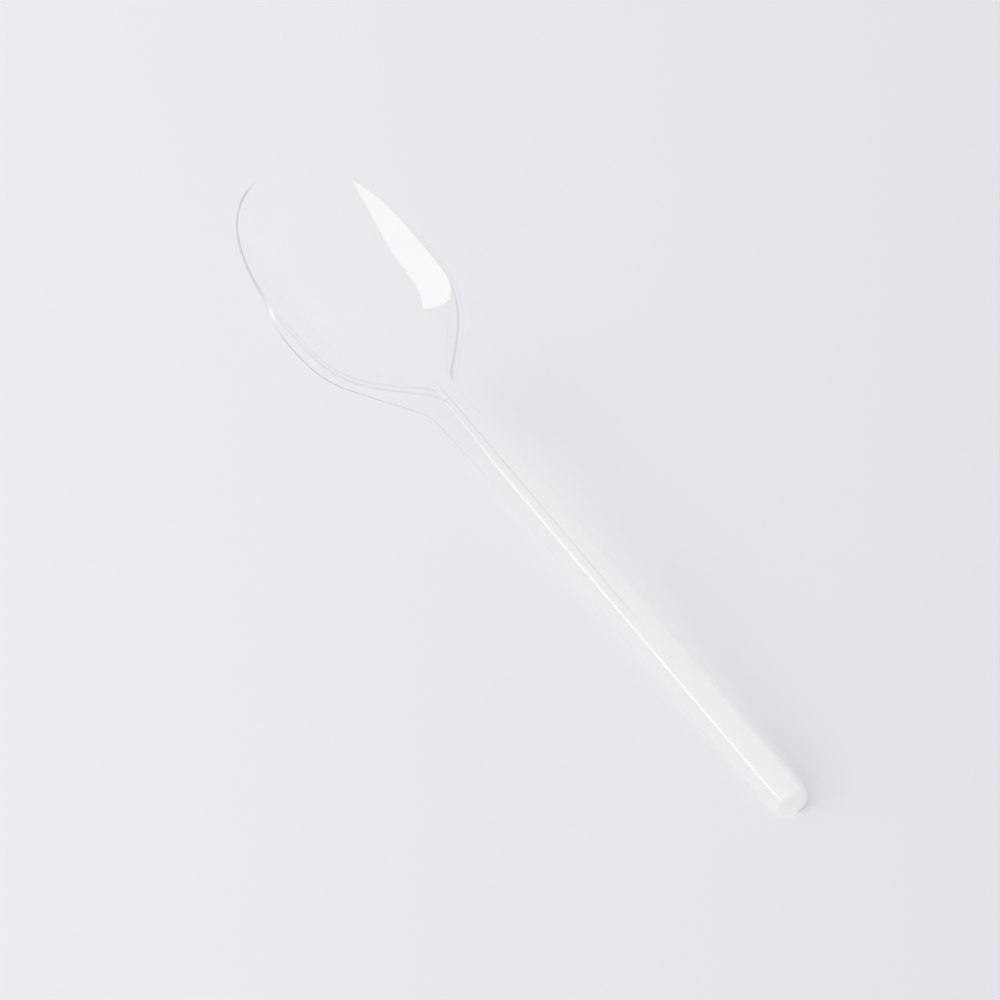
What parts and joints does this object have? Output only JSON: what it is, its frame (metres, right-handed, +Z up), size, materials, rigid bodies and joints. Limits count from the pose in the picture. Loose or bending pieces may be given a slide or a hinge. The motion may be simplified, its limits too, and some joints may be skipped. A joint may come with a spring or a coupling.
{
  "type": "disposable spoon",
  "caption": "Clear moulded plastic spoon with an oval bowl, a downturned flank round the back of its rim and a straight handle of channel section.",
  "frame": {"origin": "on the table under the middle of the spoon's length, on its plane of symmetry", "axes": "+X from the bowl's tip to the end of the handle, +Y across the spoon, +Z up out of the bowl"},
  "size_m": [0.164, 0.0356, 0.0093],
  "materials": {
    "clear_plastic": "clear, polished moulding with a mirror-like gloss"
  },
  "bodies": {
    "root": {"spoon": "clear_plastic"}
  },
  "joints": []
}
